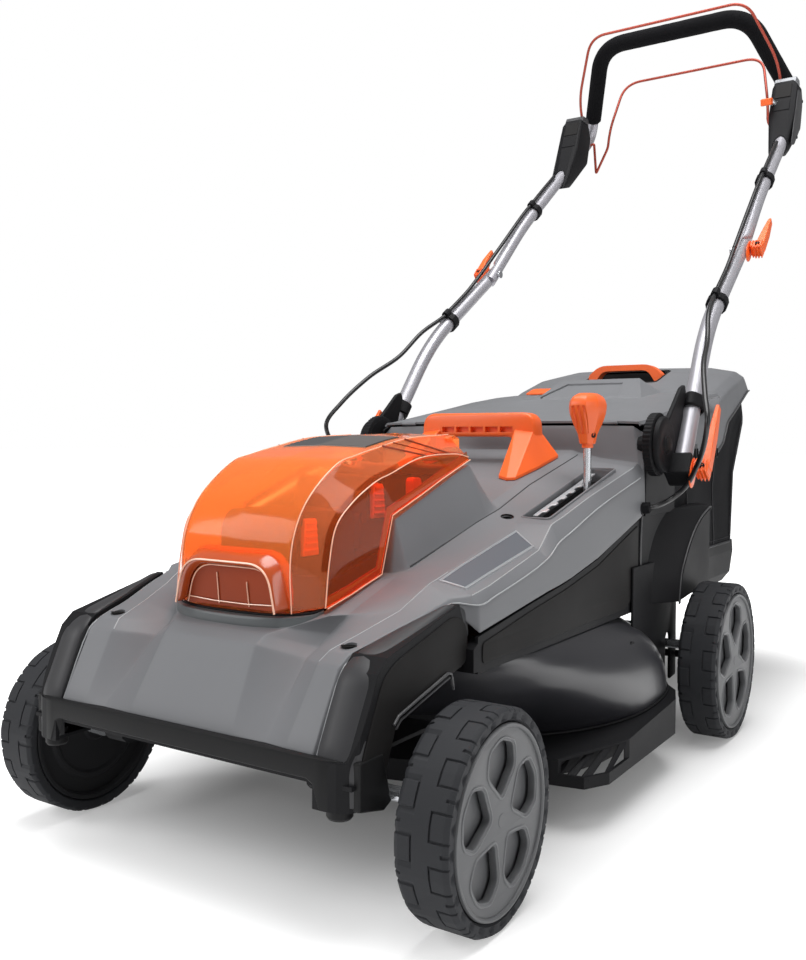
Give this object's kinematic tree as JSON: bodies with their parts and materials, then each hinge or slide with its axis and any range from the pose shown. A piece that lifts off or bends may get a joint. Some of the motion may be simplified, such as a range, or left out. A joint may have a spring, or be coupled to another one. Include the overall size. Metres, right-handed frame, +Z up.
{
  "type": "walk-behind lawn mower",
  "caption": "Battery lawn mower with a clear hinged battery cover, grass catcher, height lever and a two-stage folding loop handle.",
  "frame": {"origin": "on the ground under the middle of the bounding box", "axes": "+Z up; -Y is the front of the mower, where the battery cover opens; +X is to the operator's left when pushing"},
  "size_m": [0.5604, 1.4262, 1.18],
  "materials": {
    "cover_grey": "fine-grained grey moulding",
    "black_plastic": "fine-grained black moulding",
    "orange_plastic": "semi-gloss orange moulding",
    "amber_clear": "clear tinted orange moulding",
    "steel": "plated steel",
    "tube_grey": "satin grey lacquer on steel tube",
    "tyre": "hard moulded tread",
    "hub_grey": "grey moulding",
    "foam": "closed-cell foam sleeve",
    "copper_paint": "red-brown lacquer on rod",
    "fabric": "coated woven bag cloth",
    "dark_metal": "black lacquer on steel",
    "cable": "flexible sheath"
  },
  "bodies": {
    "chassis": {"deck_shell": "black_plastic", "top_cover": "cover_grey", "motor_can": "dark_metal", "battery_bay": "black_plastic", "battery_front": "black_plastic", "battery_rear": "black_plastic", "key_socket": "black_plastic", "carry_handle": "orange_plastic", "height_gate": "steel"},
    "front_crank": {"front_axle": "steel"},
    "rear_crank": {"rear_axle": "steel", "drive_unit": "black_plastic"},
    "link": {"height_link": "steel"},
    "wheel_front_left": {"tyre_front_left": "tyre", "hub_front_left": "hub_grey"},
    "wheel_front_right": {"tyre_front_right": "tyre", "hub_front_right": "hub_grey"},
    "wheel_rear_left": {"tyre_rear_left": "tyre", "hub_rear_left": "hub_grey"},
    "wheel_rear_right": {"tyre_rear_right": "tyre", "hub_rear_right": "hub_grey"},
    "height_lever": {"height_lever_rod": "steel", "height_lever_knob": "orange_plastic"},
    "bay_cover": {"battery_cover": "amber_clear"},
    "latch_front": {"battery_latch_front": "orange_plastic"},
    "latch_rear": {"battery_latch_rear": "orange_plastic"},
    "key": {"safety_key": "orange_plastic"},
    "rotor": {"blade": "dark_metal", "blade_bolt": "steel", "motor_shaft": "steel"},
    "flap": {"rear_flap": "black_plastic"},
    "catcher": {"catcher_lid": "cover_grey", "catcher_bag": "fabric", "catcher_base": "black_plastic", "catcher_handle": "orange_plastic"},
    "indicator": {"fill_indicator": "orange_plastic"},
    "lower_handle": {"lower_tube_left": "tube_grey", "lower_tube_right": "tube_grey", "handle_bracket_left": "black_plastic", "handle_bracket_right": "black_plastic", "cable_clip_lower_left": "black_plastic", "cable_clip_lower_right": "black_plastic", "cable_lower_left": "cable", "cable_lower_right": "cable"},
    "cam_base_left": {"base_cam_left": "orange_plastic"},
    "cam_base_right": {"base_cam_right": "orange_plastic"},
    "handle_loop": {"upper_handle": "tube_grey", "foam_grip": "foam", "switch_box": "black_plastic", "drive_box": "black_plastic", "cable_clip_upper_left": "black_plastic", "cable_clip_upper_right": "black_plastic", "cable_upper_left": "cable", "cable_upper_right": "cable"},
    "cam_joint_left": {"joint_cam_left": "orange_plastic"},
    "cam_joint_right": {"joint_cam_right": "orange_plastic"},
    "button": {"start_button": "orange_plastic"},
    "bail_blade": {"blade_bail": "copper_paint"},
    "bail_drive": {"drive_bail": "steel"}
  },
  "joints": [
    {"name": "front_crank_turn", "type": "hinge", "parent": "chassis", "child": "front_crank", "pos_m": [0, -0.6581, 0.112], "axis": [1, 0, 0], "range_deg": [-10.8, 42.7]},
    {"name": "rear_crank_turn", "type": "hinge", "parent": "chassis", "child": "rear_crank", "pos_m": [0, -0.0161, 0.1245], "axis": [1, 0, 0], "range_deg": [-10.9, 42.8]},
    {"name": "link_pivot", "type": "hinge", "parent": "front_crank", "child": "link", "pos_m": [-0.142, -0.6581, 0.156], "axis": [1, 0, 0], "range_deg": [-42.8, 10.9]},
    {"name": "height_lever_turn", "type": "hinge", "parent": "chassis", "child": "height_lever", "pos_m": [0.16, -0.2011, 0.15], "axis": [1, 0, 0], "range_deg": [-7.7, 30.2]},
    {"name": "wheel_front_left_spin", "type": "hinge", "parent": "front_crank", "child": "wheel_front_left", "pos_m": [0.2355, -0.6081, 0.089], "axis": [1, 0, 0], "continuous": true},
    {"name": "wheel_front_right_spin", "type": "hinge", "parent": "front_crank", "child": "wheel_front_right", "pos_m": [-0.2355, -0.6081, 0.089], "axis": [1, 0, 0], "continuous": true},
    {"name": "wheel_rear_left_spin", "type": "hinge", "parent": "rear_crank", "child": "wheel_rear_left", "pos_m": [0.2505, 0.0339, 0.1015], "axis": [1, 0, 0], "continuous": true},
    {"name": "wheel_rear_right_spin", "type": "hinge", "parent": "rear_crank", "child": "wheel_rear_right", "pos_m": [-0.2505, 0.0339, 0.1015], "axis": [1, 0, 0], "continuous": true},
    {"name": "bay_cover_open", "type": "hinge", "parent": "chassis", "child": "bay_cover", "pos_m": [0, -0.3581, 0.385], "axis": [-1, 0, 0], "range_deg": [0, 78]},
    {"name": "latch_front_press", "type": "slide", "parent": "chassis", "child": "latch_front", "axis": [-1, 0, 0], "range_m": [0, 0.003], "stiffness_N_per_m": 900},
    {"name": "latch_rear_press", "type": "slide", "parent": "chassis", "child": "latch_rear", "axis": [-1, 0, 0], "range_m": [0, 0.003], "stiffness_N_per_m": 900},
    {"name": "key_pull", "type": "slide", "parent": "chassis", "child": "key", "axis": [0, 0, 1], "range_m": [0, 0.018]},
    {"name": "rotor_spin", "type": "hinge", "parent": "chassis", "child": "rotor", "pos_m": [0, -0.2581, 0.06], "axis": [0, 0, 1], "continuous": true},
    {"name": "flap_lift", "type": "hinge", "parent": "chassis", "child": "flap", "pos_m": [0, -0.1045, 0.4113], "axis": [1, 0, 0], "range_deg": [0, 80]},
    {"name": "catcher_pull", "type": "slide", "parent": "chassis", "child": "catcher", "axis": [0, 1, 0], "range_m": [0, 0.1]},
    {"name": "indicator_lift", "type": "hinge", "parent": "catcher", "child": "indicator", "pos_m": [-0.12, 0.2659, 0.4672], "axis": [1, 0, 0], "range_deg": [0, 35]},
    {"name": "handle_fold", "type": "hinge", "parent": "chassis", "child": "lower_handle", "pos_m": [0, -0.0941, 0.385], "axis": [1, 0, 0], "range_deg": [0, 133]},
    {"name": "cam_base_left_open", "type": "hinge", "parent": "lower_handle", "child": "cam_base_left", "pos_m": [0.25647, -0.06938, 0.35399], "axis": [0, 0.806, -0.5919], "range_deg": [0, 95]},
    {"name": "cam_base_right_open", "type": "hinge", "parent": "lower_handle", "child": "cam_base_right", "pos_m": [-0.25647, -0.06938, 0.35399], "axis": [0, -0.806, 0.5919], "range_deg": [0, 95]},
    {"name": "loop_fold", "type": "hinge", "parent": "lower_handle", "child": "handle_loop", "pos_m": [0, 0.2719, 0.681], "axis": [1, 0, 0], "range_deg": [-100, 0]},
    {"name": "cam_joint_left_open", "type": "hinge", "parent": "handle_loop", "child": "cam_joint_left", "pos_m": [0.236, 0.27213, 0.68122], "axis": [0, 0.687, -0.7266], "range_deg": [0, 95]},
    {"name": "cam_joint_right_open", "type": "hinge", "parent": "handle_loop", "child": "cam_joint_right", "pos_m": [-0.236, 0.27213, 0.68122], "axis": [0, -0.687, 0.7266], "range_deg": [0, 95]},
    {"name": "start_button_press", "type": "slide", "parent": "handle_loop", "child": "button", "axis": [0, 0.9023, -0.4311], "range_m": [0, 0.004], "stiffness_N_per_m": 800},
    {"name": "blade_bail_squeeze", "type": "hinge", "parent": "handle_loop", "child": "bail_blade", "pos_m": [0, 0.6179, 1.012], "axis": [1, 0, 0], "range_deg": [-6.5, 0], "stiffness_Nm_per_rad": 1.2, "springref_deg": 5.73},
    {"name": "drive_bail_squeeze", "type": "hinge", "parent": "handle_loop", "child": "bail_drive", "pos_m": [0, 0.6669, 1.002], "axis": [1, 0, 0], "range_deg": [0, 15], "stiffness_Nm_per_rad": 1.2, "springref_deg": -5.73}
  ],
  "couplings": [
    {"joint": "rear_crank_turn", "follows": "front_crank_turn", "ratio": 1},
    {"joint": "link_pivot", "follows": "front_crank_turn", "ratio": -1},
    {"joint": "height_lever_turn", "follows": "front_crank_turn", "ratio": 0.7042}
  ]
}
